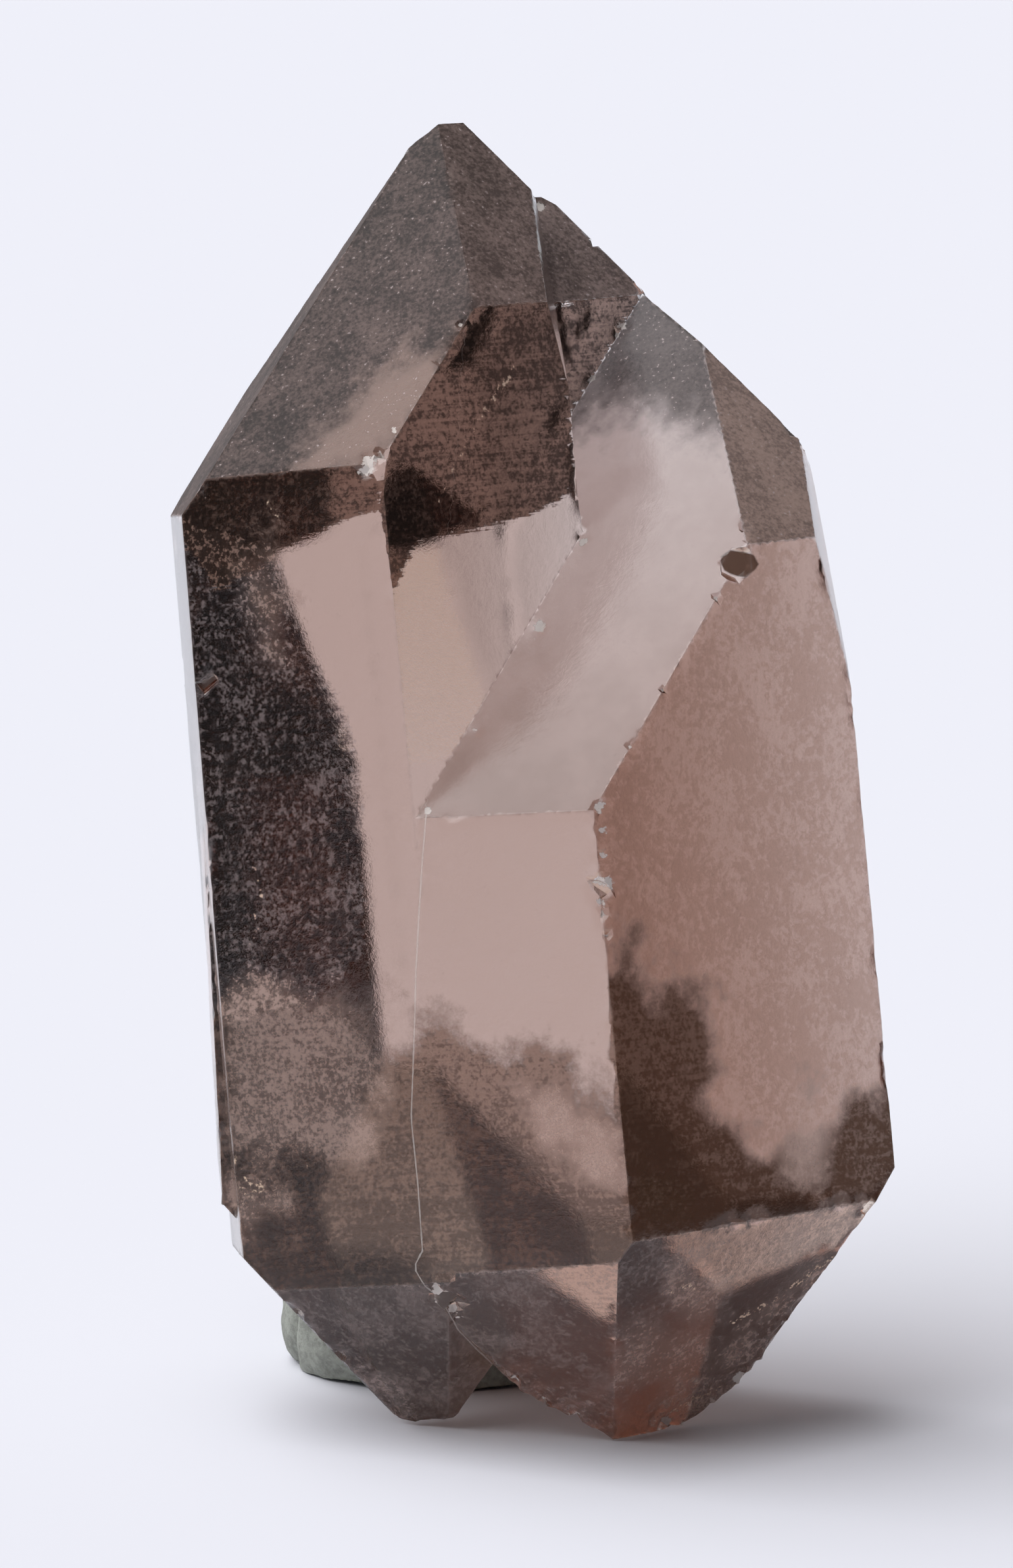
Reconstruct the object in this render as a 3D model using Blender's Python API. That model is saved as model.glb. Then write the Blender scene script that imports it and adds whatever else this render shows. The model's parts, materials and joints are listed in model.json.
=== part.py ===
# Smoky quartz crystal: five parallel-grown crystals in one solid, held upright by a lump of putty.
# Lengths below are in millimetres and angles in degrees; the meshes are made in metres.
# The crystals are built in their own frame, with the long axis up and -Y towards the viewer,
# and every face is a plane at a distance from the specimen's axis, square to the face.

import bmesh
import bpy
from math import cos, radians, sin
from mathutils import Matrix, Vector, noise

MM = 0.001
SPECIMEN = "smoky_quartz"

# Quartz has six side faces 60 degrees apart and end faces at a fixed slope to its long axis.
# The way a face looks is measured from the viewer's side, positive to the right.
CRYSTAL_TURN = -23.4
END_SLOPE = 38.2
FACE_WAYS = {
    "left front": CRYSTAL_TURN,
    "right front": CRYSTAL_TURN + 60,
    "right": CRYSTAL_TURN + 120,
    "right back": CRYSTAL_TURN + 180,
    "left back": CRYSTAL_TURN - 120,
    "left": CRYSTAL_TURN - 60,
}

# How the specimen stands: its top goes to the left and leans back on the putty
TILT_LEFT = 5.3
LEAN_BACK = 9.0
AXIS_HEIGHT = 38.0       # middle of the specimen's axis above the ground
AXIS_RIGHT = -1.6        # and where it stands over the origin
AXIS_BACK = 0.65

START_BLOCK = 120.0      # cube that every crystal is cut from

# Face distances of each crystal, in the order of FACE_WAYS
# The tall crystal on the left
MAIN_CRYSTAL = {
    "side": (12.4, 5.6, 5.6, 11.5, 15.1, 18.8),
    "top": (22.1, 22.1, 26.1, 30.0, 27.5, 25.5),
    "foot": (27.4, 21.7, 17.9, 19.4, 27.0, 31.2),
}
# The crystal in front of it on the right
FRONT_CRYSTAL = {
    "side": (12.4, 15.7, 20.5, 11.55, 13.6, 8.5),
    "top": (9.1, 20.5, 27.1, 27.2, 20.0, 17.0),
    "foot": (27.1, 28.8, 31.5, 25.6, 20.1, 24.8),
}
FRONT_TWIST = -1.0       # its left front side is grown a little out of true
# The crystal set back at the right shoulder
SHOULDER_CRYSTAL = {
    "side": (7.0, 0.7, 16.0, 11.45, 14.0, 4.0),
    "top": (24.0, 18.3, 27.5, 30.5, 25.4, 21.0),
    "foot": (20.0, 16.0, 22.0, 22.6, 19.4, 14.0),
}
# The narrow crystal low down at the left back
SIDE_CRYSTAL = {
    "side": (10.0, 2.0, -12.0, 6.0, 11.5, 19.8),
    "top": (14.0, 14.0, 4.0, 9.0, 13.0, 14.4),
    "foot": (23.0, 14.0, 12.0, 14.0, 22.0, 29.9),
}
# The crystal grown on the back of the tall one, which widens to the left as it rises
BACK_CRYSTAL = {
    "side": (8.0, 2.0, 4.0, 11.5, 25.0, 17.5),
    "top": (10.0, 10.0, 18.0, 30.0, 24.0, 19.0),
    "foot": (10.0, 10.0, 12.0, 14.0, 20.0, 20.0),
}

# Extra faces: steep faces under the shoulders, worn sides, and places that are broken away
MAIN_EXTRAS = {
    "steep right face": (84, 8, 9.35),
    "worn left side": (CRYSTAL_TURN - 60, 0.8, 18.55),
    "left back corner": (CRYSTAL_TURN - 90, 0, 18.8),
    "bevelled shoulder corner": (-2, 11, 14.55),
    "blunt foot": (10, -85, 37.6),
}
FRONT_EXTRAS = {
    "steep right face": (83, 8, 21.8),
    "chipped right foot": (70, -60, 38.0),
    "chipped front foot": (10, -68, 39.2),
}
SIDE_EXTRAS = {
    "worn left side": (CRYSTAL_TURN - 60, 2.4, 18.5),
}
BACK_EXTRAS = {
    "overhanging left back": (CRYSTAL_TURN - 120, -16, 14.09),
    "upper back": (170, 45, 21.1),
}

# Nicks along the edges: (right, back, up, width) of a tilted block that is cut away
EDGE_NICKS = {
    "front edge, top": (5.6, -16.2, -2.3, 0.9),
    "front edge, middle": (5.4, -16.2, -5.9, 1.3),
    "left shoulder": (-17.3, -6.9, 18.9, 1.2),
    "left side": (-17.3, -6.5, 7.9, 1.2),
    "shoulder corner": (-6.4, -11.1, 20.6, 0.9),
    "between the feet": (-6.4, -10.0, -30.2, 1.4),
    "right foot": (19.6, -5.2, -27.5, 1.4),
}

# The six-sided pit under the corner where three faces of the front crystal meet
PIT_PLACE = (14.9, -8.7, 12.2)
PIT_LOOKS = (20, 5)
PIT_RADIUS = 1.45
PIT_DEPTH = 0.9

# The putty lump behind the feet, on the ground
PUTTY_PLACE = (-5.3, 8.15, 2.8)
PUTTY_RADII = (10.6, 8.9, 7.6)
PUTTY_GAP = 0.35         # kept between the putty and the crystal
PUTTY_DENT = 0.07        # depth of the finger marks, as a share of the radii
PUTTY_DENT_COUNT = 1.6   # about how many of them there are across a radius

QUARTZ_COLOUR = (0.16, 0.11, 0.09, 1.0)
PUTTY_COLOUR = (0.38, 0.39, 0.35, 1.0)


def clear_scene():
    for item in list(bpy.data.objects):
        bpy.data.objects.remove(item, do_unlink=True)


def new_collection(name):
    collection = bpy.data.collections.new(name)
    bpy.context.scene.collection.children.link(collection)
    return collection


def new_object(name, mesh, collection, parent=None):
    item = bpy.data.objects.new(name, mesh)
    collection.objects.link(item)
    item.parent = parent
    return item


def new_material(name, colour, roughness):
    material = bpy.data.materials.new(name)
    material.use_nodes = True
    shader = material.node_tree.nodes["Principled BSDF"]
    shader.inputs["Base Color"].default_value = colour
    shader.inputs["Roughness"].default_value = roughness
    shader.inputs["Metallic"].default_value = 0.0
    return material


def face_direction(way, slope):
    level = cos(radians(slope))
    return Vector((sin(radians(way)) * level, -cos(radians(way)) * level, sin(radians(slope))))


# A crystal's planes: six sides, six top faces and six foot faces, and then its extra faces
def crystal_planes(crystal, extras):
    slopes = {"side": 0.0, "top": END_SLOPE, "foot": -END_SLOPE}
    planes = []
    for zone, slope in slopes.items():
        for way, distance in zip(FACE_WAYS.values(), crystal[zone]):
            planes.append((way, slope, distance))
    return planes + list(extras.values())


# A convex crystal: a block cut back by one plane for each of its faces
def cut_crystal(name, planes, grow=0.0):
    shape = bmesh.new()
    bmesh.ops.create_cube(shape, size=START_BLOCK * MM)
    for way, slope, distance in planes:
        outward = face_direction(way, slope)
        whole = shape.verts[:] + shape.edges[:] + shape.faces[:]
        cut = bmesh.ops.bisect_plane(
            shape,
            geom=whole,
            dist=0.000001,
            plane_co=outward * (distance + grow) * MM,
            plane_no=outward,
            clear_outer=True,
        )
        rim = [piece for piece in cut["geom_cut"] if isinstance(piece, bmesh.types.BMEdge)]
        if rim:
            bmesh.ops.contextual_create(shape, geom=rim)
    bmesh.ops.remove_doubles(shape, verts=shape.verts, dist=0.00001)
    bmesh.ops.recalc_face_normals(shape, faces=shape.faces)
    mesh = bpy.data.meshes.new(name)
    shape.to_mesh(mesh)
    shape.free()
    return mesh


def tilted_block(name, place, width):
    shape = bmesh.new()
    bmesh.ops.create_cube(shape, size=width * MM)
    turn = Matrix.Rotation(radians(35), 4, "X") @ Matrix.Rotation(radians(50), 4, "Y")
    bmesh.ops.transform(shape, matrix=Matrix.Translation(Vector(place) * MM) @ turn, verts=shape.verts)
    mesh = bpy.data.meshes.new(name)
    shape.to_mesh(mesh)
    shape.free()
    return mesh


def six_sided_pit(name):
    shape = bmesh.new()
    bmesh.ops.create_cone(
        shape,
        cap_ends=True,
        segments=6,
        radius1=PIT_RADIUS * 0.6 * MM,
        radius2=PIT_RADIUS * 1.4 * MM,
        depth=2 * PIT_DEPTH * MM,
    )
    turn = face_direction(*PIT_LOOKS).to_track_quat("Z", "Y").to_matrix().to_4x4()
    bmesh.ops.transform(shape, matrix=Matrix.Translation(Vector(PIT_PLACE) * MM) @ turn, verts=shape.verts)
    mesh = bpy.data.meshes.new(name)
    shape.to_mesh(mesh)
    shape.free()
    return mesh


# A ball pressed out of round by finger marks and cut flat where it stands
def putty_lump(name):
    shape = bmesh.new()
    bmesh.ops.create_icosphere(shape, subdivisions=4, radius=1.0)
    for corner in shape.verts:
        dent = noise.noise(corner.co * PUTTY_DENT_COUNT + Vector((3.1, 0.4, 7.7)))
        swollen = corner.co * (1 + PUTTY_DENT * dent)
        spread = Vector(radius * part for radius, part in zip(PUTTY_RADII, swollen))
        corner.co = (spread + Vector(PUTTY_PLACE)) * MM
    ground = bmesh.ops.bisect_plane(
        shape,
        geom=shape.verts[:] + shape.edges[:] + shape.faces[:],
        dist=0.000001,
        plane_co=(0, 0, 0),
        plane_no=(0, 0, -1),
        clear_outer=True,
    )
    rim = [piece for piece in ground["geom_cut"] if isinstance(piece, bmesh.types.BMEdge)]
    bmesh.ops.contextual_create(shape, geom=rim)
    bmesh.ops.recalc_face_normals(shape, faces=shape.faces)
    mesh = bpy.data.meshes.new(name)
    shape.to_mesh(mesh)
    shape.free()
    return mesh


def hide_cutter(cutter):
    cutter.hide_render = True
    cutter.display_type = "WIRE"
    return cutter


def add_boolean(target, cutter, operation):
    boolean = target.modifiers.new(cutter.name, "BOOLEAN")
    boolean.operation = operation
    boolean.solver = "EXACT"
    boolean.object = cutter


# The empty that every piece of the specimen is built on: it gives the tilt and the lean
def stand_specimen(collection):
    stand = new_object("specimen_axis", None, collection)
    lean = Matrix.Rotation(radians(-LEAN_BACK), 4, "X")
    tilt = Matrix.Rotation(radians(-TILT_LEFT), 4, "Y")
    place = Vector((AXIS_RIGHT, AXIS_BACK, AXIS_HEIGHT)) * MM
    stand.matrix_world = Matrix.Translation(place) @ lean @ tilt
    return stand


def grown_crystals():
    front = crystal_planes(FRONT_CRYSTAL, FRONT_EXTRAS)
    way, slope, distance = front[0]
    front[0] = (way + FRONT_TWIST, slope - FRONT_TWIST / 10, distance)
    return {
        "main_crystal": crystal_planes(MAIN_CRYSTAL, MAIN_EXTRAS),
        "front_crystal": front,
        "shoulder_crystal": crystal_planes(SHOULDER_CRYSTAL, {}),
        "side_crystal": crystal_planes(SIDE_CRYSTAL, SIDE_EXTRAS),
        "back_crystal": crystal_planes(BACK_CRYSTAL, BACK_EXTRAS),
    }


def build_quartz(parts, cutters, stand):
    crystals = grown_crystals()
    main = crystals.pop("main_crystal")
    quartz = new_object("quartz_crystal", cut_crystal("quartz_crystal", main), parts, stand)
    for name, planes in crystals.items():
        grown = hide_cutter(new_object(name, cut_crystal(name, planes), cutters, stand))
        add_boolean(quartz, grown, "UNION")
    for name, (right, back, up, width) in EDGE_NICKS.items():
        nick = new_object("nick " + name, tilted_block("nick " + name, (right, back, up), width), cutters, stand)
        add_boolean(quartz, hide_cutter(nick), "DIFFERENCE")
    pit = hide_cutter(new_object("pit", six_sided_pit("pit"), cutters, stand))
    add_boolean(quartz, pit, "DIFFERENCE")
    quartz.data.materials.append(new_material("smoky quartz", QUARTZ_COLOUR, 0.2))
    return quartz


def build_putty(parts, cutters, stand):
    putty = new_object("mounting_putty", putty_lump("mounting_putty"), parts)
    crystals = grown_crystals()
    for name in ("main_crystal", "front_crystal"):
        hollow = cut_crystal("room for " + name, crystals[name], grow=PUTTY_GAP)
        add_boolean(putty, hide_cutter(new_object("room for " + name, hollow, cutters, stand)), "DIFFERENCE")
    putty.data.materials.append(new_material("grey-green putty", PUTTY_COLOUR, 0.7))
    return putty


clear_scene()
parts = new_collection(SPECIMEN)
cutters = new_collection("cutters")
stand = stand_specimen(parts)
build_quartz(parts, cutters, stand)
build_putty(parts, cutters, stand)
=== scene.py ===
import json
from math import cos, pi, radians, sin

import bmesh
import bpy
import numpy as np
from mathutils import Matrix, Vector, kdtree, noise

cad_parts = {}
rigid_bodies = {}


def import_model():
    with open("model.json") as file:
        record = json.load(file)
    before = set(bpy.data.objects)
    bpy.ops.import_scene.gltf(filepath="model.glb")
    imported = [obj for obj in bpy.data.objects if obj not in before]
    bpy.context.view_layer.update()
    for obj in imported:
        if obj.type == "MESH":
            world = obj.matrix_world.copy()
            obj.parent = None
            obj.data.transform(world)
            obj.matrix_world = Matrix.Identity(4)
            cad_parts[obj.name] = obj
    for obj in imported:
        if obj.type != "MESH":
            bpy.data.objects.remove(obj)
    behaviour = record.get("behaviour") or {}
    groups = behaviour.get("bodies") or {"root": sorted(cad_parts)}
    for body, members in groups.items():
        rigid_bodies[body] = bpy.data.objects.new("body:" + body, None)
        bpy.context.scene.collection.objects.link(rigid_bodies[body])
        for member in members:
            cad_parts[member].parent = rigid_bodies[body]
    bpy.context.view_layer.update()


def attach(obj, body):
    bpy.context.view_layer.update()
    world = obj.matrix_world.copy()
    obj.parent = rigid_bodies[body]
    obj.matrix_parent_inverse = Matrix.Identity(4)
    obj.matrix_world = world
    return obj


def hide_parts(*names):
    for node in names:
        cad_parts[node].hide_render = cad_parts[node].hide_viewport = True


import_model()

# lengths are worked out in mm and given to Blender in metres
toMetres = 0.001
toMm = 1000
farOff = 1e9

# how the specimen grew and stands, the same as in the solids; angles in degrees, lengths in mm
specimen = {
    "turn": -23.4,
    "endSlope": 38.2,
    "tiltLeft": 5.3,
    "leanBack": 9.0,
    "axisRight": -1.6,
    "axisBack": 0.65,
    "axisHeight": 38.0,
}

# the camera looks at the middle of the axis; the picture of 1540x2383 has the photo's framing
cameraPlan = {
    "pictureHigh": 2383,
    "axisAtX": 770,
    "axisAtY": 1191.5,
    "pixelsPerMm": 25.2,
    "distance": 450,
    "elevation": 11.5,
    "sensor": 36,
}


# shader maths: a socket that can be added, multiplied and so on, each giving its Math node
class Wire:
    def __init__(self, tree, socket):
        self.tree = tree
        self.socket = socket

    def math(self, operation, *others):
        node = self.tree.nodes.new("ShaderNodeMath")
        node.operation = operation
        for slot, value in zip(node.inputs, others):
            if isinstance(value, Wire):
                self.tree.links.new(value.socket, slot)
            else:
                slot.default_value = value
        return Wire(self.tree, node.outputs[0])

    def __add__(self, other):
        return self.math("ADD", self, other)

    def __radd__(self, other):
        return self.math("ADD", other, self)

    def __sub__(self, other):
        return self.math("SUBTRACT", self, other)

    def __rsub__(self, other):
        return self.math("SUBTRACT", other, self)

    def __mul__(self, other):
        return self.math("MULTIPLY", self, other)

    def __rmul__(self, other):
        return self.math("MULTIPLY", other, self)

    def size(self):
        return self.math("ABSOLUTE", self)

    def atLeast(self, other):
        return self.math("MAXIMUM", self, other)

    def atMost(self, other):
        return self.math("MINIMUM", self, other)


# the nodes of one material or world; node() makes any node that isn't plain maths
class Nodes:
    def __init__(self, tree):
        self.tree = tree

    # values or links for the sockets of a node, each called by its name or its place
    def fill(self, node, sockets):
        for key, value in sockets.items():
            if isinstance(key, int):
                slot = node.inputs[key]
            else:
                slot = next(socket for socket in node.inputs if socket.name == key and socket.enabled)
            if isinstance(value, Wire):
                self.tree.links.new(value.socket, slot)
            else:
                slot.default_value = value

    def node(self, kind, settings=None, out=0, places=None, **sockets):
        node = self.tree.nodes.new(kind)
        for name, value in (settings or {}).items():
            setattr(node, name, value)
        self.fill(node, places or {})
        self.fill(node, {name.replace("_", " "): value for name, value in sockets.items()})
        return node if out is None else Wire(self.tree, node.outputs[out])

    # 0 below start, 1 above end and smooth between; start may be the higher one
    def fade(self, value, start, end):
        low, high = (start, end) if start < end else (end, start)
        rise = self.node("ShaderNodeMapRange", {"interpolation_type": "SMOOTHSTEP"},
                         Value=value, From_Min=low, From_Max=high)
        return rise if start < end else 1 - rise

    def noise(self, place, scale, detail, rough):
        return self.node("ShaderNodeTexNoise", Vector=place, Scale=scale, Detail=detail, Roughness=rough)

    def attribute(self, name):
        return self.node("ShaderNodeAttribute", {"attribute_name": name}, out=2)

    # object coordinates turned into the crystal's own frame, in mm
    def inCrystal(self):
        spot = self.node("ShaderNodeTexCoord", out=3)
        place = toWorld()
        return self.node("ShaderNodeMapping", {"vector_type": "TEXTURE"}, Vector=spot,
                         Location=place.translation, Rotation=place.to_euler("XYZ"), Scale=(toMetres,) * 3)

    def stretch(self, place, scale):
        return self.node("ShaderNodeMapping", Vector=place, Scale=scale)

    def mixColour(self, share, first, second):
        sockets = {0: share, 6: first, 7: second}
        return self.node("ShaderNodeMix", {"data_type": "RGBA"}, out=2, places=sockets)

    def mixShader(self, share, first, second):
        return self.node("ShaderNodeMixShader", places={0: share, 1: first, 2: second})


def toWorld():
    place = Vector((specimen["axisRight"], specimen["axisBack"], specimen["axisHeight"])) * toMetres
    lean = Matrix.Rotation(radians(-specimen["leanBack"]), 4, "X")
    tilt = Matrix.Rotation(radians(-specimen["tiltLeft"]), 4, "Y")
    return Matrix.Translation(place) @ lean @ tilt


def makeCamera():
    plan = cameraPlan
    rise = radians(plan["elevation"])
    aim = Vector((specimen["axisRight"], specimen["axisBack"], specimen["axisHeight"])) * toMetres
    back = Vector((0, -cos(rise), sin(rise)))
    data = bpy.data.cameras.new("camera")
    camera = bpy.data.objects.new("camera", data)
    bpy.context.scene.collection.objects.link(camera)
    camera.location = aim + back * plan["distance"] * toMetres
    camera.rotation_euler = (radians(90 - plan["elevation"]), 0, 0)
    data.sensor_width = plan["sensor"]
    data.lens = plan["sensor"] * plan["distance"] * plan["pixelsPerMm"] / plan["pictureHigh"]
    data.clip_start = 0.01
    data.clip_end = 50
    bpy.context.scene.camera = camera
    print("camera set")


lightPlan = {
    "floorColour": (0.806, 0.808, 0.868, 1),
    "floorSize": 8.0,
    "matte": 0.9,
    "backdrop": (0.855, 0.863, 0.94, 1),
    "overhead": 3.3,
    "keyLeft": 0.62,
    "keyFrom": 0.84,
    "keyTo": 1.06,
    "behind": 0.85,
    "behindBack": (0.25, 0.6),
    "behindUp": (0.52, 0.40),
    "around": 0.06,
    "tone": (0.98, 0.985, 1.0, 1),
    "cardColour": (0.02, 0.02, 0.02, 1),
    "cardAway": 0.30,
    "cardHigh": 0.16,
    "cardLong": 0.55,
}


def plainMaterial(name, colour, roughness):
    paint = bpy.data.materials.new(name)
    paint.use_nodes = True
    shader = paint.node_tree.nodes["Principled BSDF"]
    shader.inputs["Base Color"].default_value = colour
    shader.inputs["Roughness"].default_value = roughness
    shader.inputs["Specular IOR Level"].default_value = 0.0
    return paint


def makeStage():
    plan = lightPlan
    bpy.ops.object.select_all(action="DESELECT")
    bpy.ops.mesh.primitive_plane_add(size=plan["floorSize"])
    floor = bpy.context.object
    floor.name = "floor"
    floor.data.materials.append(plainMaterial("pale paper", plan["floorColour"], plan["matte"]))
    # dark cards at both sides, as used for glass, that only the crystal sees
    for side in (-1, 1):
        bpy.ops.object.select_all(action="DESELECT")
        place = (side * plan["cardAway"], 0, plan["cardHigh"] / 2)
        bpy.ops.mesh.primitive_plane_add(size=1, location=place, rotation=(pi / 2, 0, pi / 2))
        card = bpy.context.object
        card.name = "dark card"
        card.scale = (plan["cardLong"], plan["cardHigh"], 1)
        card.data.materials.append(plainMaterial("dark card", plan["cardColour"], plan["matte"]))
        card.visible_camera = False
        card.visible_diffuse = False
        card.visible_shadow = False
    print("floor laid")


# soft light from overhead and a bright low sweep behind, with a dark room around
def makeWorld():
    plan = lightPlan
    world = bpy.data.worlds.new("studio")
    bpy.context.scene.world = world
    world.use_nodes = True
    world.node_tree.nodes.clear()
    nodes = Nodes(world.node_tree)
    way = nodes.node("ShaderNodeTexCoord")
    back = nodes.node("ShaderNodeSeparateXYZ", out=1, Vector=way)
    up = nodes.node("ShaderNodeSeparateXYZ", out=2, Vector=way)
    left = nodes.node("ShaderNodeSeparateXYZ", Vector=way) * -plan["keyLeft"]
    overhead = nodes.fade(up + left, plan["keyFrom"], plan["keyTo"]) * plan["overhead"]
    behind = nodes.fade(back, *plan["behindBack"]) * nodes.fade(up, *plan["behindUp"]) * plan["behind"]
    strength = overhead + behind + plan["around"]
    light = nodes.node("ShaderNodeBackground", Color=plan["tone"], Strength=strength)
    backdrop = nodes.node("ShaderNodeBackground", Color=plan["backdrop"])
    seen = nodes.node("ShaderNodeLightPath")
    mixed = nodes.mixShader(seen, light, backdrop)
    nodes.node("ShaderNodeOutputWorld", out=None, Surface=mixed)
    scene = bpy.context.scene
    scene.view_settings.view_transform = "Standard"
    scene.cycles.max_bounces = 12
    scene.cycles.transmission_bounces = 11
    scene.cycles.glossy_bounces = 8
    scene.cycles.diffuse_bounces = 2
    print("light set")


# the face directions of quartz: the way is measured from the viewer's side, positive to the right
faceWays = {"A": 0, "B": 60, "C": 120, "D": 180, "E": -120, "F": -60}


# R faces are the top ones, L faces those of the foot, and S is the slanted one in the middle
def faceNormal(name):
    name = "RA" if name == "S" else name.rstrip("2")
    slope = radians(specimen["endSlope"] * {"R": 1, "L": -1}.get(name[0], 0))
    way = radians(specimen["turn"] + faceWays[name[-1]])
    return np.array((sin(way) * cos(slope), -cos(way) * cos(slope), sin(slope)))


def viewAxes():
    rise = radians(cameraPlan["elevation"])
    turn = np.array(toWorld().to_3x3())
    right, up, away = (1, 0, 0), (0, sin(rise), cos(rise)), (0, cos(rise), -sin(rise))
    return [np.array(axis) @ turn for axis in (right, up, away)]


# where points of the crystal, in its own frame and in mm, show in the picture of 1540x2383
def inPicture(points):
    right, up, away = viewAxes()
    scale = cameraPlan["distance"] * cameraPlan["pixelsPerMm"] / (cameraPlan["distance"] + points @ away)
    across = cameraPlan["axisAtX"] + points @ right * scale
    down = cameraPlan["axisAtY"] - points @ up * scale
    return np.stack((across, down), axis=1)


# distance in pixels to the rim of an outline, positive inside
def insideOutline(spots, outline):
    corners = np.array(outline, dtype=float)
    inside = np.zeros(len(spots), dtype=bool)
    nearest = np.full(len(spots), farOff)
    for start, end in zip(corners, np.roll(corners, -1, axis=0)):
        along = end - start
        share = np.clip(((spots - start) @ along) / (along @ along), 0, 1)
        nearest = np.minimum(nearest, np.linalg.norm(spots - start - share[:, None] * along, axis=1))
        crosses = (start[1] > spots[:, 1]) != (end[1] > spots[:, 1])
        with np.errstate(divide="ignore", invalid="ignore"):
            meets = start[0] + (spots[:, 1] - start[1]) * along[0] / along[1]
        inside ^= crosses & (spots[:, 0] < meets)
    return np.where(inside, nearest, -nearest)


# distance in pixels to a line, positive on its right, and far beyond its ends
def besideLine(spots, line):
    nearest = np.full(len(spots), farOff)
    signed = np.full(len(spots), farOff)
    for start, end in zip(np.array(line[:-1], dtype=float), np.array(line[1:], dtype=float)):
        along = end - start
        length = np.linalg.norm(along)
        share = ((spots - start) @ along) / length**2
        away = np.linalg.norm(spots - start - np.clip(share, 0, 1)[:, None] * along, axis=1)
        side = ((spots[:, 0] - start[0]) * along[1] - (spots[:, 1] - start[1]) * along[0]) / length
        closer = away < nearest
        nearest = np.where(closer, away, nearest)
        signed = np.where(closer, np.sign(side) * away, signed)
    return signed


# the quartz's mesh and body; lengths in mm, angles in degrees, noise scales per mm
quartzPlan = {
    "ior": 1.544,
    "density": 60.0,
    "colour": (0.60, 0.375, 0.26, 1),
    "remeshDepth": 8,
    "remeshScale": 0.72,
    "edgeAngle": 18,
    "sameWay": 0.985,            # a small face looks a crystal face's way above this cosine
    "onFace": 0.2,               # share of the faces round a point that puts it in a zone
    "onFront": 0.1,
    "zoneReach": 4,              # zone distances are kept up to this
    "offZone": -9.0,
    "seamReach": 2,
    "slantWithin": 15,           # how far out the faces lie that share a way
    "rightBeyond": 10,
    "pitBeyond": 5,
    "warmFrom": 19.6,
    "warmTo": 21.3,
    "driftDetail": (0.9, 2.0, 4),
    "cloudy": ((0.30, 0.30, 0.30), (7.0, 1.0, 3.0)),
    "wispy": ((1.1, 1.1, 0.20), (2.0, 9.0, 5.0)),
    "wearWidth": 0.7,            # how far from an edge its wear reaches
    "wearDepth": 0.11,
    "wearShare": 0.22,
    "bruiseShare": 7,
    "bruiseAreas": (0.23, 0.02),
    "bruises": (1.3, 0.3),
    "rough": (2.1, 0.45),
    "chipDepth": 0.45,
    "chipShare": 0.4,
    "wave": 0.014,               # the slow waves of growth over every face
    "waves": (0.20, 0.5),
    "etch": 0.022,               # the finer relief of the ends and the back
    "etchScale": 1.1,
    "etchSides": 0.15,
    "etchFoot": 0.6,
    "breakDepth": 0.42,
    "breakRim": 0.6,
    "breakScale": 0.9,
    "breakStretch": 0.4,
    "breakSteps": 0.7,
    "breakRough": 0.25,
    "lowest": 0.02,
    "smoothAngle": 24,
    "fine": (1.9, 4, 0.80),      # scale, detail and roughness of the noises in the material
    "grain": (4.4, 1, 0.6),
    "streaks": (1.0, 3, 0.75),
    "streakStretch": (0.14, 0.14, 4.0),
    "bumpStrength": 1.0,
    "bumpDepth": 0.10,
    "scatterRoughness": 0.6,
    "scatterSpecular": 0.15,
    "whiteFade": (0.1, 0.6),
}

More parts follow.
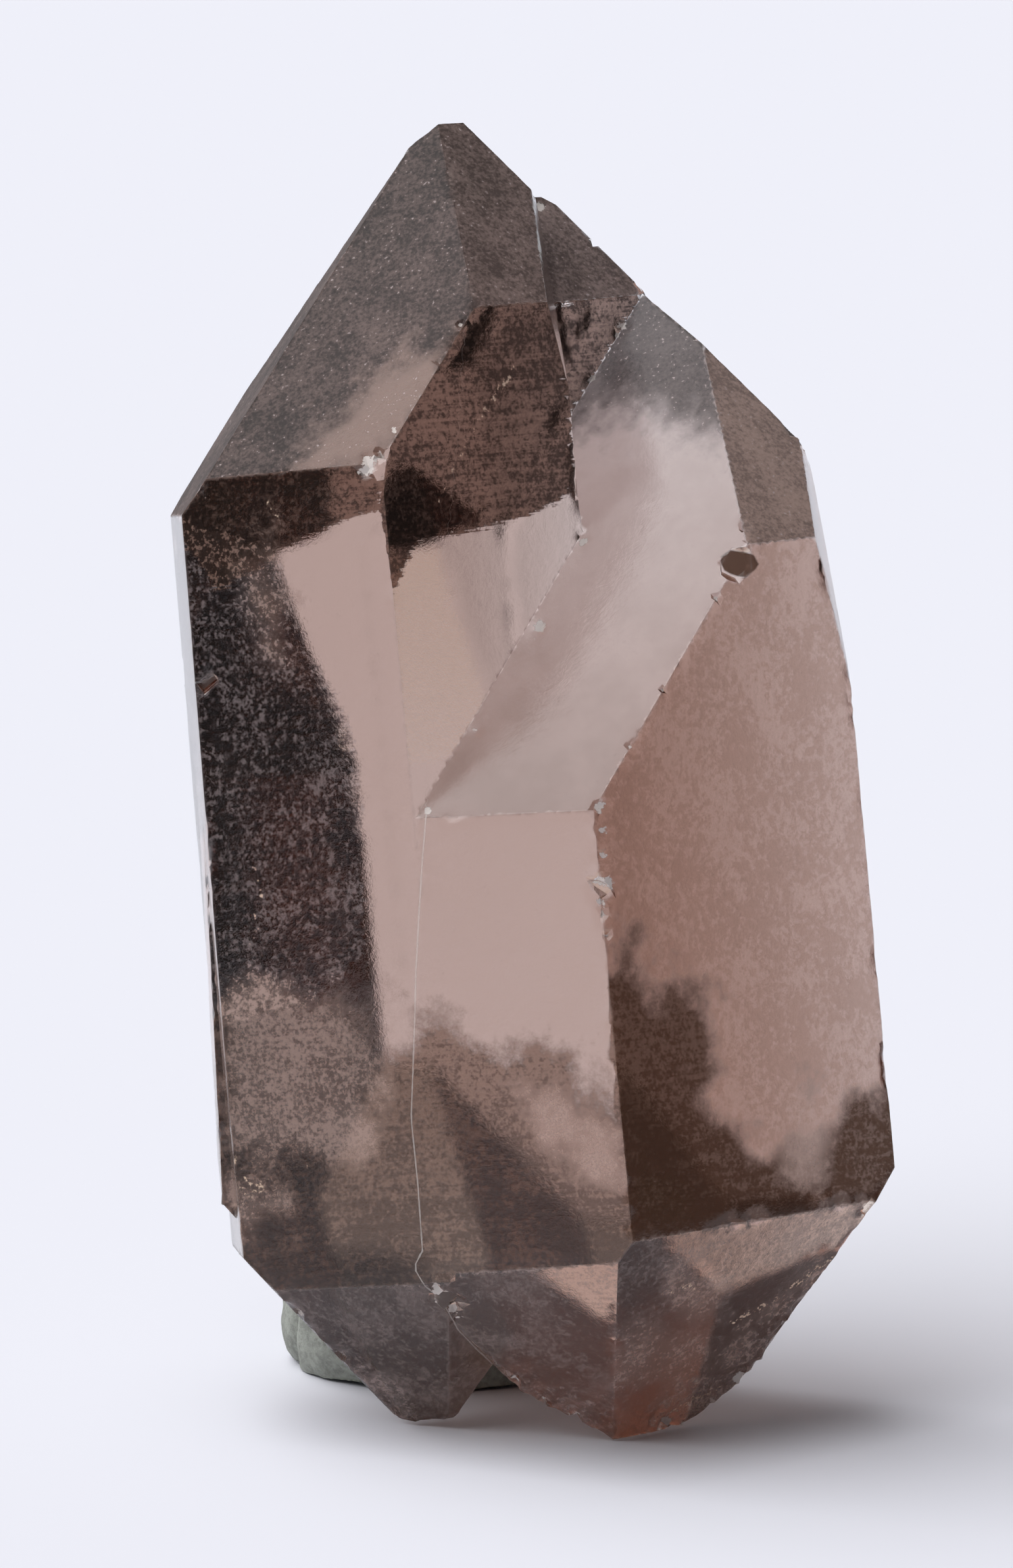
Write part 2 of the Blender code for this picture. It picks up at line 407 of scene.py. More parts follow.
# zones seen in the photo, as outlines in its pixels and the face directions that they lie on
zonePlan = {
    # painted shade: the dark mottled zones of the front faces
    "dark": [
        ("A", [(325, 690), (585, 680), (579, 772), (500, 800), (418, 834), (427, 842), (330, 900),
               (250, 780)]),
        ("B", [(560, 690), (607, 630), (704, 455), (712, 440), (845, 430), (855, 530), (868, 620), (878, 745),
               (840, 768), (780, 790), (700, 812), (640, 822), (592, 909), (560, 880)]),
        ("B", [(835, 470), (880, 450), (1000, 425), (945, 505), (898, 585), (868, 640), (845, 560)]),
    ],
    # painted shade: the dark mottled zone on the left front face
    "leftShade": [
        ("A", [(240, 780), (420, 836), (432, 870), (450, 930), (472, 998), (490, 1020), (512, 1060),
               (530, 1100),
               (546, 1164), (548, 1230), (553, 1400), (556, 1450), (470, 1520), (380, 1545), (240, 1560)]),
    ],
    # smoky brown with painted shade: the low front zones tinted dark brown
    "brownShade": [
        ("A", [(160, 1450), (380, 1500), (470, 1540), (560, 1600), (640, 1545), (700, 1560), (780, 1590),
               (860, 1590), (900, 1640), (1060, 1700), (1060, 2100), (300, 2100), (160, 1800)]),
        ("B", [(820, 1440), (960, 1440), (1010, 1500), (1090, 1520), (1080, 1600), (1100, 1690), (1200, 1790),
               (1265, 1680), (1480, 1600), (1480, 1990), (820, 2040)]),
    ],
    # painted light: lighter hazy patches where light comes through, some lying over the veils and healed band
    # of the right foot
    "paintedLight": [
        ("A", [(330, 1470), (430, 1490), (560, 1500), (610, 1560), (575, 1640), (560, 1730), (450, 1760),
               (340, 1740)]),
        ("A", [(378, 846), (414, 832), (440, 900), (438, 1000), (408, 992), (384, 915)]),
        ("A", [(340, 1800), (380, 1790), (430, 1850), (400, 1890), (350, 1880)]),
        ("A", [(780, 1660), (860, 1670), (950, 1720), (955, 1800), (900, 1790), (820, 1740)]),
        ("B", [(1216, 1694), (1240, 1680), (1250, 1730), (1242, 1776), (1226, 1770)]),
        ("LB", [(950, 2010), (1000, 1985), (1070, 2010), (1078, 2090), (1040, 2155), (985, 2155),
               (955, 2080)]),
        ("LB", [(1008, 1970), (1045, 1945), (1090, 1965), (1092, 2010), (1050, 2032), (1010, 2005)]),
        ("LB", [(1090, 2020), (1180, 1960), (1275, 1895), (1285, 1920), (1205, 1985), (1110, 2045)]),
    ],
    # painted shade: the darker, dull part of the slant face
    "gloom": [
        ("RA", [(920, 370), (1140, 520), (1145, 668), (1060, 650), (1010, 615), (950, 605), (860, 660),
               (890, 530)]),
    ],
    "broken": [
        ("LB", [(1270, 1930), (1128, 2110), (1040, 2180), (985, 2160), (1013, 2128), (1110, 2085),
               (1190, 1985)]),
        ("LA", [(930, 2120), (950, 2200), (850, 2160), (760, 2090), (800, 2080), (880, 2130)]),
        ("LA", [(530, 2060), (620, 2120), (640, 2180), (590, 2160), (500, 2060)]),
    ],
    "clear": [
        ("RA", [(440, 722), (500, 640), (560, 590), (640, 540), (690, 500), (650, 590), (590, 715)]),
    ],
}

# white chips and bruises: pixel place and radius in pixels
chipPlan = [
    (564, 706, 9), (550, 716, 6), (577, 690, 5), (556, 696, 4), (600, 652, 4), (640, 592, 3), (668, 545, 3),
    (700, 490, 3),
    (918, 1345, 9), (915, 1372, 6), (920, 1392, 4), (914, 1225, 6), (920, 1262, 4), (924, 1420, 3),
    (917, 1300, 3),
    (820, 950, 6), (808, 970, 3), (722, 1112, 3), (650, 1232, 4), (886, 822, 4),
    (672, 1972, 7), (658, 1957, 4), (686, 1990, 5), (698, 2006, 4), (316, 752, 4),
    (945, 494, 5), (937, 511, 3), (898, 574, 4), (1090, 905, 3), (1010, 1050, 3), (960, 1135, 3),
    (822, 312, 5), (1235, 738, 4), (436, 504, 5), (1128, 2098, 7), (1088, 2138, 6), (1015, 2163, 5),
    (872, 2156, 6), (824, 2137, 5), (780, 2104, 5), (1190, 2028, 4), (1246, 1946, 5), (453, 2001, 4),
    (514, 2065, 4),
]

# a painted highlight along the seam where the two front crystals have grown together, drawn as a fine white
# line
seamHighlightLine = [(648, 1232), (640, 1330), (632, 1480), (630, 1560), (625, 1700), (635, 1800), (642, 1901),
            (629, 1926), (645, 1954), (676, 1985), (696, 2021), (728, 2054), (751, 2075)]

# brown iron stain at the feet
rustPlan = [(570, 2110, 46), (625, 2150, 40), (930, 2188, 20), (735, 2052, 22), (712, 2008, 12),
            (1075, 2140, 14)]

# the six-sided pit, painted dark brown as its shade
pitOutline = [(1092, 846), (1110, 834), (1146, 842), (1156, 860), (1132, 880), (1102, 870)]

# painted gold glints of flashes from healed fractures, as marks on the surface: a line of pixels and its half
# width
paintedGlintPlan = [
    ([(782, 562), (762, 590), (738, 620)], 7),
    ([(738, 620), (712, 668), (690, 712)], 3),
    ([(690, 712), (672, 752), (660, 790)], 2),
    ([(403, 765), (416, 780), (426, 786)], 5),
    ([(388, 1318), (397, 1352), (394, 1378)], 6),
    ([(384, 1384), (391, 1405), (386, 1424)], 5),
    ([(1112, 2012), (1150, 1990), (1186, 1968)], 5),
    ([(1204, 1956), (1240, 1930), (1268, 1910)], 6),
    ([(1020, 1966), (1042, 1954), (1066, 1964)], 4),
    ([(352, 1762), (372, 1790), (398, 1812)], 5),
    ([(348, 1800), (368, 1806), (392, 1832)], 4),
    ([(360, 1830), (376, 1822), (402, 1790)], 3),
    ([(465, 1769), (471, 1776)], 3),
    ([(1020, 2150), (1060, 2128), (1100, 2108)], 5),
]


def nearSpots(seen, spots, soft=1.6):
    value = np.zeros(len(seen))
    for right, down, radius in spots:
        away = np.hypot(seen[:, 0] - right, seen[:, 1] - down)
        value = np.maximum(value, np.clip(1 - (away - radius) / (soft * radius), 0, 1))
    return value


def nearLines(seen, lines, soft=1.5):
    value = np.zeros(len(seen))
    for line, width in lines:
        value = np.maximum(value, np.clip(soft - np.abs(besideLine(seen, line)) / width, 0, 1))
    return value


# slow changes over the piece, from about -1 to 1; the stretch says how fast along each axis
def drift(points, stretch, start):
    spots = points * np.array(stretch) + np.array(start)
    return np.array([noise.fractal(Vector(spot), *quartzPlan["driftDetail"]) for spot in spots])


# patches of noise, more of them the more it is raised
def patches(spot, scale, raised, start=(0, 0, 0)):
    return max(0.0, noise.noise(spot * scale + Vector(start)) + raised)


def ridges(spot, scale):
    return abs(noise.noise(spot * scale))


def keepValues(mesh, name, values):
    layer = mesh.attributes.new(name, "FLOAT", "POINT")
    layer.data.foreach_set("value", values.astype(np.float32))


def readPoints(mesh, what):
    values = np.empty(len(mesh.vertices) * 3)
    mesh.vertices.foreach_get(what, values)
    return values.reshape(-1, 3)


# a copy of a solid with its loose triangles joined
def joinedCopy(node, name, within=0.000005):
    piece = bpy.data.objects.new(name, bpy.data.objects[node].data.copy())
    bpy.context.scene.collection.objects.link(piece)
    bpy.ops.object.select_all(action="DESELECT")
    piece.select_set(True)
    bpy.context.view_layer.objects.active = piece
    bpy.ops.object.mode_set(mode="EDIT")
    bpy.ops.mesh.select_all(action="SELECT")
    bpy.ops.mesh.remove_doubles(threshold=within)
    bpy.ops.object.mode_set(mode="OBJECT")
    return piece


# the active piece made again in small even faces
def makeFine(piece, depth, scale):
    remesh = piece.modifiers.new("fine faces", "REMESH")
    remesh.mode = "SHARP"
    remesh.octree_depth = depth
    remesh.scale = scale
    remesh.use_remove_disconnected = False
    bpy.ops.object.modifier_apply(modifier=remesh.name)
    mendPinches(piece)


# where four faces share an edge, the faces around are taken out and the hole is closed
def mendPinches(piece, tries=3):
    bpy.ops.object.mode_set(mode="EDIT")
    bpy.ops.mesh.select_mode(type="VERT")
    for attempt in range(tries):
        bpy.ops.mesh.select_all(action="DESELECT")
        bpy.ops.mesh.select_non_manifold()
        if bpy.context.object.data.total_vert_sel == 0:
            break
        bpy.ops.mesh.select_more()
        bpy.ops.mesh.delete(type="FACE")
        bpy.ops.mesh.select_all(action="SELECT")
        bpy.ops.mesh.delete_loose(use_verts=True, use_edges=True, use_faces=False)
        bpy.ops.mesh.select_all(action="SELECT")
        bpy.ops.mesh.fill_holes(sides=0)
    bpy.ops.mesh.select_all(action="SELECT")
    bpy.ops.mesh.quads_convert_to_tris()
    bpy.ops.mesh.normals_make_consistent(inside=False)
    bpy.ops.object.mode_set(mode="OBJECT")
    shape = bmesh.new()
    shape.from_mesh(piece.data)
    openEdges = sum(not edge.is_manifold for edge in shape.edges)
    print(piece.name, len(shape.faces), "triangles,", openEdges, "open edges")
    shape.free()


def sharpEdgePoints(mesh, angle, step=0.25):
    shape = bmesh.new()
    shape.from_mesh(mesh)
    points = []
    for edge in shape.edges:
        if edge.is_convex and edge.calc_face_angle(0) > radians(angle):
            start, end = (vert.co for vert in edge.verts)
            count = max(1, int((end - start).length * toMm / step))
            points += [start.lerp(end, place / count) for place in range(count + 1)]
    shape.free()
    return points


def awayFromEdges(places, points, most=3.0):
    tree = kdtree.KDTree(len(points))
    for index, point in enumerate(points):
        tree.insert(point, index)
    tree.balance()
    return np.array([min(tree.find(place)[2] * toMm, most) for place in places])


def makeQuartz():
    plan = quartzPlan
    piece = joinedCopy("quartz_crystal", "quartz")
    edges = sharpEdgePoints(piece.data, plan["edgeAngle"])
    makeFine(piece, plan["remeshDepth"], plan["remeshScale"])
    mesh = piece.data
    count = len(mesh.vertices)
    world = readPoints(mesh, "co")
    edge = awayFromEdges([Vector(point) for point in world], edges)
    turn = np.array(toWorld().to_3x3())
    place = np.array(toWorld().translation)
    points = (world - place) @ turn * toMm

    # which way the faces round each point look
    normals = np.empty(len(mesh.polygons) * 3)
    mesh.polygons.foreach_get("normal", normals)
    normals = normals.reshape(-1, 3) @ turn
    corners = np.empty(len(mesh.loops), dtype=int)
    mesh.loops.foreach_get("vertex_index", corners)
    owner = np.repeat(np.arange(len(mesh.polygons)), 3)
    around = np.maximum(np.bincount(corners, minlength=count), 1)

    def facing(*names):
        share = np.zeros(len(mesh.polygons))
        for name in names:
            share = np.maximum(share, (normals @ faceNormal(name) > plan["sameWay"]).astype(float))
        return np.bincount(corners, weights=share[owner], minlength=count) / around

    # how far out each point lies along the way of a face
    def outTo(name):
        return points @ faceNormal(name)

    seen = inPicture(points)
    perMm = cameraPlan["pixelsPerMm"]
    reach = plan["zoneReach"]
    zones = {}
    for zone, outlines in zonePlan.items():
        value = np.full(count, plan["offZone"])
        for face, outline in outlines:
            inside = insideOutline(seen, outline) / perMm
            value = np.maximum(value, np.where(facing(face) > plan["onFace"], inside, plan["offZone"]))
        keepValues(mesh, zone, np.clip(value, -reach, reach))
        zones[zone] = value
    front = facing("A", "B", "RA", "RB", "LA", "LB") > plan["onFront"]
    chips = nearSpots(seen, chipPlan) * front
    keepValues(mesh, "chip", chips)
    keepValues(mesh, "rust", nearSpots(seen, rustPlan) * front)
    keepValues(mesh, "paintedGlint", nearLines(seen, paintedGlintPlan) * front)
    seam = np.where(front, besideLine(seen, seamHighlightLine) / perMm, farOff)
    keepValues(mesh, "seam", np.clip(seam, -plan["seamReach"], plan["seamReach"]))
    slant = facing("S") * (outTo("S") < plan["slantWithin"])
    top = facing("RA", "RB", "RC", "RD", "RE", "RF") - slant
    foot = facing("LA", "LB", "LC")
    backEnds = facing("RD", "RE", "RF", "LD", "LE", "LF", "LC")
    keepValues(mesh, "top", top)
    keepValues(mesh, "slant", slant)
    keepValues(mesh, "rightFront", facing("B") * (outTo("B") > plan["rightBeyond"]))
    keepValues(mesh, "backEnds", backEnds)
    keepValues(mesh, "foot", foot)
    keepValues(mesh, "rightTop", facing("RB"))
    keepValues(mesh, "edge", edge)
    warm = (outTo("RB") > plan["warmFrom"]) * (outTo("RB") < plan["warmTo"])
    keepValues(mesh, "warmEnd", facing("RB") * warm)
    pit = np.where(outTo("S") > plan["pitBeyond"], insideOutline(seen, pitOutline) / perMm, -reach)
    keepValues(mesh, "pit", np.clip(pit, -reach, reach))
    for name in ("cloudy", "wispy"):
        keepValues(mesh, name, drift(points, *plan[name]))

    # worn edges, chips, slow growth waves, etching and broken feet, all cut inwards
    outward = readPoints(mesh, "normal") @ turn
    relief = np.maximum(np.maximum(top, backEnds), plan["etchSides"] + foot * plan["etchFoot"])
    broken = np.clip(zones["broken"] + plan["breakRim"], 0, 1)
    inwards = np.zeros(count)
    for index, point in enumerate(points):
        spot = Vector(point)
        near = max(0.0, 1 - edge[index] / plan["wearWidth"])
        bruised = patches(spot, *plan["bruiseAreas"]) * patches(spot, *plan["bruises"])
        worn = (plan["wearShare"] + bruised * plan["bruiseShare"]) * near**2 * plan["wearDepth"]
        rough = patches(spot, *plan["rough"])
        chipped = chips[index] * rough * plan["chipDepth"] * (plan["chipShare"] + near)
        wave = patches(spot, *plan["waves"]) * plan["wave"]
        etched = ridges(spot, plan["etchScale"]) * plan["etch"] * relief[index]
        long = Vector((spot.x, spot.y, spot.z * plan["breakStretch"]))
        stepped = ridges(long, plan["breakScale"]) * plan["breakSteps"] + rough * plan["breakRough"]
        inwards[index] = worn + chipped + wave + etched + broken[index] * stepped * plan["breakDepth"]
    points = points - outward * inwards[:, None]
    world = points @ turn.T * toMetres + place
    world[:, 2] = np.maximum(world[:, 2], plan["lowest"] * toMetres)
    mesh.vertices.foreach_set("co", world.ravel())
    mesh.update()

    piece.data.materials.clear()
    piece.data.materials.append(quartzMaterial())
    bpy.ops.object.shade_smooth_by_angle(angle=radians(plan["smoothAngle"]))
    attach(piece, "root")
    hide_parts("quartz_crystal")
    print("quartz made,", count, "points")


lookPlan = {
    "plain": (1, 1, 1, 1),
    # painted shade: the near-black tint under the real frost of the ends
    "frostShadeLow": (0.016, 0.010, 0.009, 1),
    "frostShadeHigh": (0.085, 0.060, 0.055, 1),
    "warmEnd": (0.30, 0.20, 0.17, 1),
    "clearTint": (0.22, 0.125, 0.090, 1),
    "clearHaze": (0.20, 0.125, 0.098, 1),
    # haze over the painted shade of the dark zones
    "paintedShadeHaze": (0.32, 0.20, 0.155, 1),
    "slantFoot": (0.23, 0.16, 0.13, 1),
    "frostDark": (0.026, 0.016, 0.014, 1),
    "frostGrey": (0.145, 0.099, 0.088, 1),
    "frostRight": (0.32, 0.235, 0.21, 1),
    "frostWarm": (0.36, 0.255, 0.21, 1),
    "slantFrost": (0.092, 0.070, 0.064, 1),
    # painted shade on the slant face
    "gloom": (0.09, 0.068, 0.066, 1),
    # painted shade of the dark zones, at its darkest and at its lightest
    "paintedShadeLow": (0.010, 0.006, 0.005, 1),
    "paintedShadeHigh": (0.130, 0.072, 0.054, 1),
    # painted shade of the dark zone on the left
    "leftShadeLow": (0.06, 0.05, 0.06, 1),
    # dark browns for the painted shade of the low front zones; the lowest also mottles the foot
    "brownLow": (0.075, 0.050, 0.038, 1),
    "brownShadeHigh": (0.33, 0.235, 0.19, 1),
    "deepBrown": (0.026, 0.012, 0.007, 1),
    # painted light: the tint of the lighter patches
    "paintedLightTint": (0.52, 0.40, 0.345, 1),
    "slantLow": (0.31, 0.225, 0.20, 1),
    "slantHigh": (0.39, 0.30, 0.275, 1),
    "rightTint": (0.56, 0.40, 0.34, 1),
    "rightMottle": (0.42, 0.275, 0.22, 1),
    "footTint": (0.70, 0.52, 0.465, 1),
    "rust": (0.54, 0.37, 0.27, 1),
    # painted light: the scatter hue of the lighter patches
    "paintedLightHue": (0.46, 0.325, 0.275, 1),
    "haze": (0.44, 0.36, 0.35, 1),
    # haze over the brown painted shade
    "brownShadeHaze": (0.24, 0.145, 0.108, 1),
    "deepHaze": (0.10, 0.045, 0.026, 1),
    "footHaze": (0.50, 0.39, 0.355, 1),
    # white of the chips and of the painted highlight of the seam
    "scatterAndPaintedLight": (0.72, 0.66, 0.62, 1),
    # painted glint: the gold of the healed fractures
    "glintGold": (0.82, 0.62, 0.46, 1),
}


# masks and patterns of the quartz: what is added up with which share, and from where to where the
# sum fades; a name that no noise has is a value kept in the mesh, and a shift is a noise less a half
maskPlan = {
    "top": ({"top": 1}, 0.3, 0.7),
    "slant": ({"slant": 1}, 0.3, 0.7),
    "foot": ({"foot": 1}, 0.3, 0.7),
    "rightFront": ({"rightFront": 1}, 0.3, 0.7),
    "rightTop": ({"rightTop": 1}, 0.3, 0.7),
    "warmEnd": ({"warmEnd": 1}, 0.3, 0.7),
    "backEnds": ({"backEnds": 1}, 0.3, 0.7),
    "clear": ({"clear": 1, "cloudy": 2.2, "fineShift": 2}, -1.4, 1.4),
    "dark": ({"dark": 1, "fineShift": 1, "streakShift": 1.5}, -0.10, 0.10),
    "leftShade": ({"leftShade": 1, "fineShift": 1.8}, -0.12, 0.16),
    "brownShade": ({"brownShade": 1, "cloudy": 2.6, "fineShift": 3.4}, -1.3, 1.5),
    "paintedLight": ({"paintedLight": 1, "cloudy": 1.9, "fineShift": 2.4}, -1.3, 1.5),
    "gloom": ({"gloom": 1, "wispy": 1.1, "cloudy": 0.9, "fineShift": 2}, -2.6, 1.5),
    "broken": ({"broken": 1, "fineShift": 2}, -0.3, 0.4),
    "chip": ({"chip": 1, "grainShift": 0.8, "fineShift": 1.3}, 0.52, 0.76),
    "rust": ({"rust": 1, "fineShift": 2}, 0.35, 1.0),
    "paintedGlint": ({"paintedGlint": 0.55, "grainShift": 0.8, "fineShift": 2}, 0.52, 0.76),
    "seam": ({"fromSeam": 1, "fineShift": 0.12}, 0.070, 0.02),
    "pit": ({"pit": 1}, -0.05, 0.08),
    "worn": ({"edge": 1, "fineShift": 0.35}, 0.22, 0.0),
    "veil": ({"cloudy": 1, "fineShift": 2.2}, -0.25, 0.75),
    "low": ({"height": 1}, -15.0, -26.0),
    "slantFade": ({"height": 1, "cloudy": 4}, 9.0, -3.0),
    "slantTone": ({"wispy": 0.3, "cloudy": 0.5, "fine": 0.5}, -0.5, 0.9),
    "rightTone": ({"fine": 1, "cloudy": -0.12}, 0.60, 0.44),
    "mottle": ({"fine": 0.50, "grain": 0.24, "streaks": 0.26, "cloudy": 0.06}, 0.43, 0.60),
    "bloomGrain": ({"grain": 0.42, "fine": 0.58, "cloudy": 0.10}, 0.36, 0.68),
    "dots": ({"grain": 0.38, "fine": 0.62, "cloudy": 0.05}, 0.50, 0.61),
    "specks": ({"grain": 1, "cloudy": 0.03, "wispy": 0.03}, 0.70, 0.75),
    "shade": ({"streaks": 0.24, "fine": 0.46, "grain": 0.30, "low": -0.05, "cloudy": 0.06}, 0.43, 0.56),
}

# how strongly the looks show: one share, or a share and what a pattern adds to it
sharePlan = {
    "warmEnd": (0.45, 0.55),
    "slantFoot": 0.75,
    "gloom": (0.95, -0.35),
    "footMottle": 0.55,
    "deepBrown": (1, -0.25),
    "frost": (1, -0.7),
    "frostRight": (0.25, 0.50),
    "frostWarm": (0.25, 0.55),
    "frostRough": 0.46,
    "backRough": 0.26,
    "brownShadeRough": 0.18,
    "wornRough": 0.18,
    "bump": (0.16, 0.45),
    "backBump": 0.5,
    "topBloom": (0.77, -0.30),
    "leftShadeBloom": (0.03, 0.30),
    "paintedShadeBloom": (0.05, 0.16),
    "slantBloom": 0.74,
    "brownShadeBloom": (0.06, 0.22),
    "rightBloom": 0.42,
    "brokenBloom": 0.22,
    "speckBloom": (0.06, 0.40),
    "dotBloom": 0.14,
    "veilBloom": 0.12,
    "wornBloom": 0.14,
    "paintedLightBloom": (0.14, 0.24),
    "paintedLightRight": (1, -0.8),
    "chipBloom": 0.85,
    "seamHighlightBloom": 0.42,
    "paintedGlintBloom": 0.75,
    "mostBloom": 0.9,
}


def quartzMaterial():
    plan = quartzPlan
    look = lookPlan
    share = sharePlan
    paint = bpy.data.materials.new("smoky quartz")
    paint.use_nodes = True
    tree = paint.node_tree
    nodes = Nodes(tree)
    shader = tree.nodes["Principled BSDF"]
    end = tree.nodes["Material Output"]
    spot = nodes.inCrystal()
    mix = nodes.mixColour
    value = nodes.attribute

    fine = nodes.noise(spot, *plan["fine"])
    grain = nodes.noise(spot, *plan["grain"])
    streaks = nodes.noise(nodes.stretch(spot, plan["streakStretch"]), *plan["streaks"])
    parts = {
        "fine": fine,
        "grain": grain,
        "streaks": streaks,
        "fineShift": fine - 0.5,
        "grainShift": grain - 0.5,
        "streakShift": streaks - 0.5,
        "cloudy": value("cloudy"),
        "wispy": value("wispy"),
        "height": nodes.node("ShaderNodeSeparateXYZ", out=2, Vector=spot),
        "fromSeam": value("seam").size(),
    }

    def mask(name):
        shares, fadeFrom, fadeTo = maskPlan[name]
        total = None
        for part, amount in shares.items():
            wire = parts[part] if part in parts else value(part)
            wire = wire if amount == 1 else wire * amount
            total = wire if total is None else total + wire
        return nodes.fade(total, fadeFrom, fadeTo)

    # a share that a pattern changes
    def varied(name, pattern):
        least, more = share[name]
        return least + pattern * more

    parts["low"] = mask("low")
    top, slant, foot, right = mask("top"), mask("slant"), mask("foot"), mask("rightFront")
    clear, dark, leftShade, brownShade = mask("clear"), mask("dark"), mask("leftShade"), mask("brownShade")
    paintedLit, gloom, broken, pit = mask("paintedLight"), mask("gloom"), mask("broken"), mask("pit")
    chip, rust, paintedGlint, seam = mask("chip"), mask("rust"), mask("paintedGlint"), mask("seam")
    mottle, bloomGrain, dots, specks = mask("mottle"), mask("bloomGrain"), mask("dots"), mask("specks")
    shade, warmEnd, worn = mask("shade"), mask("warmEnd"), mask("worn")

    # the tint of what passes through each face. The near-black tint under the frost of the ends, the dark
    # zones, the dark zone on the left, the darkness of the brown zone, the gloom on the slant face and the
    # pit are painted shade; the lighter patches are painted light
    colour = mix(top, look["plain"], mix(bloomGrain, look["frostShadeLow"], look["frostShadeHigh"]))
    colour = mix(warmEnd * varied("warmEnd", mottle), colour, look["warmEnd"])
    colour = mix(clear * top, colour, look["clearTint"])
    slantTone = mix(mask("slantTone"), look["slantLow"], look["slantHigh"])
    slantTone = mix(mask("slantFade") * share["slantFoot"], slantTone, look["slantFoot"])
    # painted shade on the slant face
    slantTone = mix(gloom * varied("gloom", bloomGrain), slantTone, look["gloom"])
    colour = mix(slant, colour, slantTone)
    colour = mix(right, colour, mix(mask("rightTone"), look["rightTint"], look["rightMottle"]))
    colour = mix(foot, colour, mix(mottle * share["footMottle"], look["footTint"], look["brownLow"]))
    # painted shade on the left front face, broken by the mottle
    colour = mix(leftShade * (1 - mottle), colour, look["leftShadeLow"])
    colour = mix(dark, colour, mix(mottle, look["paintedShadeLow"], look["paintedShadeHigh"]))
    # smoky brown with painted shade over the low front zones, deepest on the right face
    brownShadeTone = mix(shade, look["brownLow"], look["brownShadeHigh"])
    brownShadeTone = mix(right * varied("deepBrown", shade), brownShadeTone, look["deepBrown"])
    colour = mix(brownShade, colour, brownShadeTone)
    # painted light in the lighter patches
    colour = mix(paintedLit, colour, look["paintedLightTint"])
    colour = mix(rust, colour, look["rust"])
    # painted shade of the pit
    colour = mix(pit, colour, look["deepBrown"])

    roughness = top * varied("frost", clear) * share["frostRough"]
    roughness = roughness + mask("backEnds") * share["backRough"] * (1 - foot)
    roughness = roughness + brownShade * (1 - right) * share["brownShadeRough"] + worn * share["wornRough"]
    relief = fine * (varied("bump", top) + value("backEnds") * share["backBump"])
    bump = nodes.node("ShaderNodeBump", Strength=plan["bumpStrength"],
                      Distance=plan["bumpDepth"] * toMetres, Height=relief)
    nodes.fill(shader, {"Base Color": colour, "Roughness": roughness, "Normal": bump,
                        "IOR": plan["ior"], "Transmission Weight": 1.0})

    # the surface's own scatter: grey bloom of the frosted ends, haze over the painted shade zones, white
    # chips, a painted highlight along the seam, painted light in the lighter patches and painted gold glints
    hue = mix(nodes.fade(chip + seam, *plan["whiteFade"]), look["haze"], look["scatterAndPaintedLight"])
    plain = 1 - chip.atLeast(seam)
    hue = mix(brownShade * plain, hue, mix(right, look["brownShadeHaze"], look["deepHaze"]))
    hue = mix(foot * plain, hue, look["footHaze"])
    hue = mix(dark * plain, hue, look["paintedShadeHaze"])
    hue = mix(paintedLit, hue, look["paintedLightHue"])
    matte = top.atLeast(slant * gloom) * (1 - chip.atLeast(specks))
    frostTone = mix(bloomGrain, look["frostDark"], look["frostGrey"])
    frostTone = mix(clear, frostTone, look["clearHaze"])
    frostTone = mix(slant, frostTone, mix(bloomGrain, look["frostDark"], look["slantFrost"]))
    frostTone = mix(mask("rightTop") * varied("frostRight", bloomGrain), frostTone, look["frostRight"])
    frostTone = mix(warmEnd * varied("frostWarm", bloomGrain), frostTone, look["frostWarm"])
    hue = mix(matte, hue, frostTone)
    # painted glint: gold over the healed fractures
    hue = mix(paintedGlint, hue, look["glintGold"])
    # one scatter shader for the real frost, haze and chips, and for painted shade haze, painted light, the
    # painted seam highlight and painted glints
    scatterAndPaintedLight = nodes.node("ShaderNodeBsdfPrincipled", Base_Color=hue, Roughness=plan["scatterRoughness"],
                        Specular_IOR_Level=plan["scatterSpecular"])

    # how much of that scatter each place shows
    bloom = top * varied("topBloom", clear) + leftShade * varied("leftShadeBloom", dots)
    bloom = bloom + dark * varied("paintedShadeBloom", dots) + slant * gloom * share["slantBloom"]
    bloom = bloom + brownShade * varied("brownShadeBloom", shade) * (1 - right) + brownShade * right * share["rightBloom"]
    bloom = bloom + broken * mottle * share["brokenBloom"] + specks * varied("speckBloom", top)
    bloom = bloom + foot * dots * share["dotBloom"] + foot * mask("veil") * share["veilBloom"]
    bloom = bloom + worn * share["wornBloom"]
    bloom = bloom + paintedLit * varied("paintedLightBloom", bloomGrain) * varied("paintedLightRight", right)
    # the seam's white is a painted highlight, the chips' white their own colour
    bloom = bloom.atLeast(chip * share["chipBloom"]).atLeast(seam * share["seamHighlightBloom"])
    bloom = bloom.atLeast(paintedGlint * share["paintedGlintBloom"]).atMost(share["mostBloom"])
    smoky = nodes.node("ShaderNodeVolumeAbsorption", Color=plan["colour"], Density=plan["density"])
    surface = nodes.mixShader(bloom, Wire(tree, shader.outputs[0]), scatterAndPaintedLight)
    nodes.fill(end, {"Surface": surface, "Volume": smoky})
    return paint


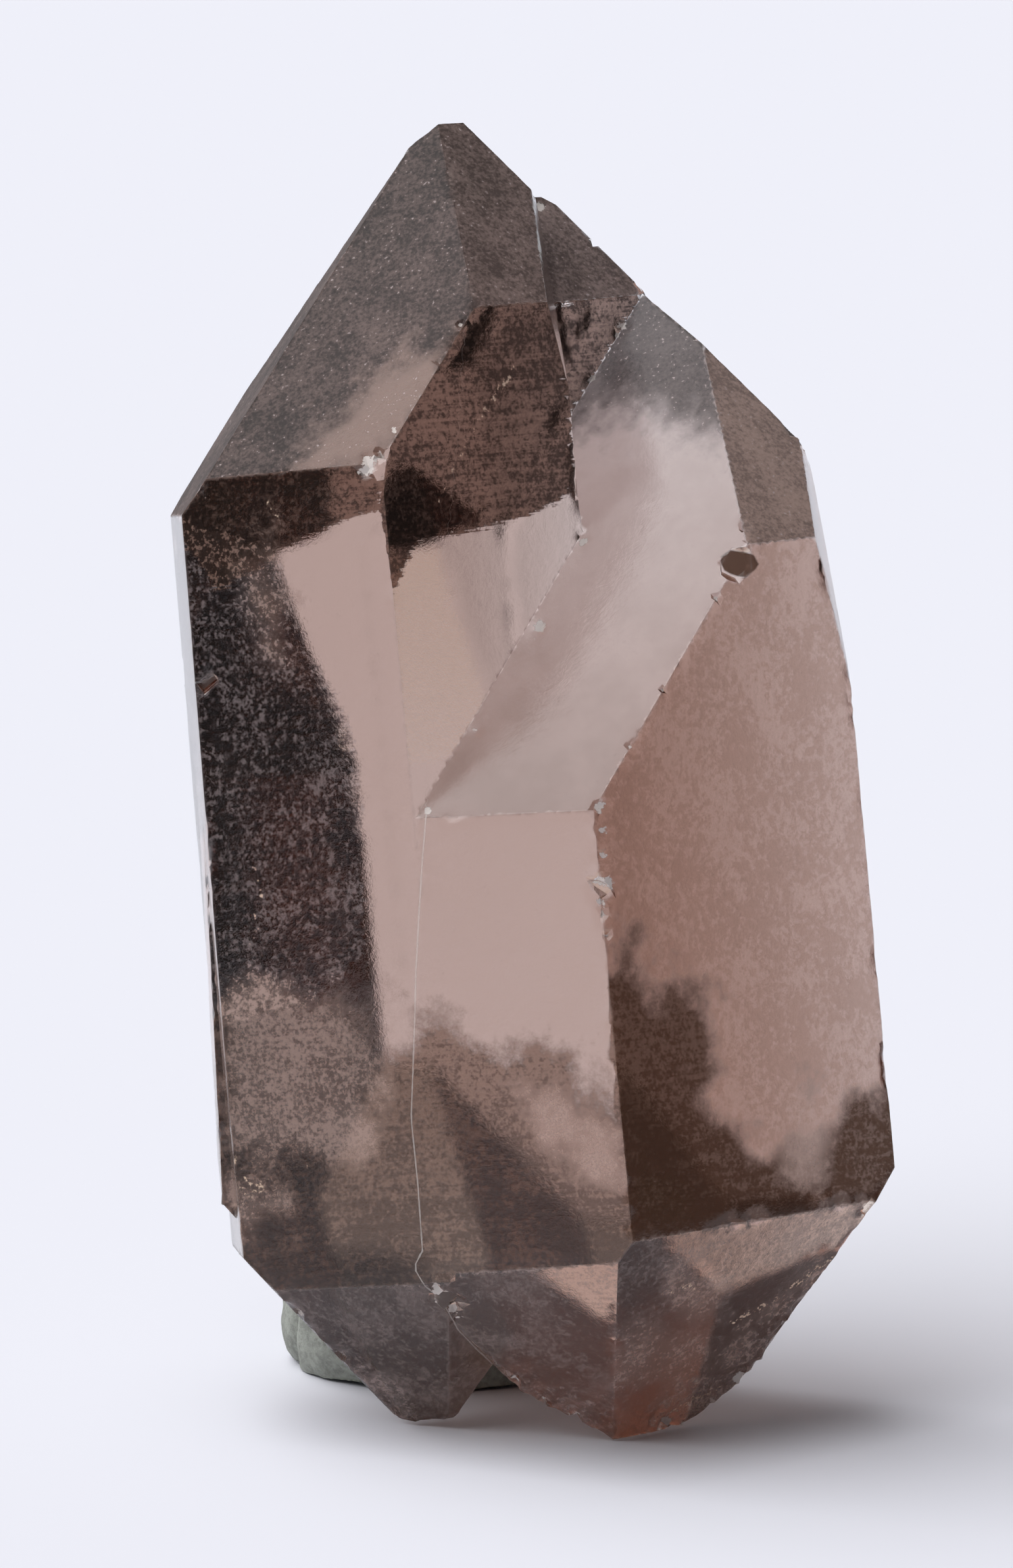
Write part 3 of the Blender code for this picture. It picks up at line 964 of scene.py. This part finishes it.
# the putty; lengths in mm, angles in degrees, relief noise scales per mm and those of the colour per metre
puttyPlan = {
    "remeshDepth": 7,
    "remeshScale": 0.9,
    "hollow": 0.8,
    "hollows": (0.13, 0.12, (3, 1, 7)),
    "crease": 0.34,
    "creaseScale": 0.12,
    "creaseWide": 0.20,
    "dimple": 0.16,
    "dimples": (0.55, 0.4),
    "crumb": 0.07,
    "crumbScale": 2.4,
    "smoothAngle": 40,
    "colour": (0.36, 0.375, 0.33, 1),
    "shade": (0.23, 0.238, 0.208, 1),
    "crumbs": (2600, 6, 0.7),
    "clouds": (320, 4, 0.6),
    "crumbShare": 0.6,
    "cloudShare": 0.4,
    "toneFade": (0.38, 0.60),
    "roughness": 0.82,
    "bumpStrength": 0.8,
    "bumpDepth": 0.12,
}


def puttyMaterial():
    plan = puttyPlan
    paint = bpy.data.materials.new("grey-green putty")
    paint.use_nodes = True
    nodes = Nodes(paint.node_tree)
    place = nodes.node("ShaderNodeTexCoord", out=3)
    crumbs = nodes.noise(place, *plan["crumbs"])
    clouds = nodes.noise(place, *plan["clouds"])
    share = nodes.fade(crumbs * plan["crumbShare"] + clouds * plan["cloudShare"], *plan["toneFade"])
    bump = nodes.node("ShaderNodeBump", Strength=plan["bumpStrength"],
                      Distance=plan["bumpDepth"] * toMetres, Height=crumbs)
    nodes.fill(paint.node_tree.nodes["Principled BSDF"], {
        "Base Color": nodes.mixColour(share, plan["shade"], plan["colour"]),
        "Roughness": plan["roughness"],
        "Normal": bump,
    })
    return paint


def makePutty():
    plan = puttyPlan
    piece = joinedCopy("mounting_putty", "putty")
    makeFine(piece, plan["remeshDepth"], plan["remeshScale"])
    mesh = piece.data
    points = readPoints(mesh, "co") * toMm
    outward = readPoints(mesh, "normal")
    for index, point in enumerate(points):
        spot = Vector(point)
        hollow = patches(spot, *plan["hollows"]) * plan["hollow"]
        fold = max(0.0, 1 - ridges(spot, plan["creaseScale"]) / plan["creaseWide"])
        dimple = patches(spot, *plan["dimples"]) * plan["dimple"]
        crumb = ridges(spot, plan["crumbScale"]) * plan["crumb"]
        points[index] -= outward[index] * (hollow + fold**2 * plan["crease"] + dimple + crumb)
    points[:, 2] = np.maximum(points[:, 2], 0.0)
    mesh.vertices.foreach_set("co", (points * toMetres).ravel())
    mesh.update()
    piece.data.materials.clear()
    piece.data.materials.append(puttyMaterial())
    bpy.ops.object.shade_smooth_by_angle(angle=radians(plan["smoothAngle"]))
    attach(piece, "root")
    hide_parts("mounting_putty")
    print("putty made")


makeCamera()
makeStage()
makeWorld()
makeQuartz()
makePutty()
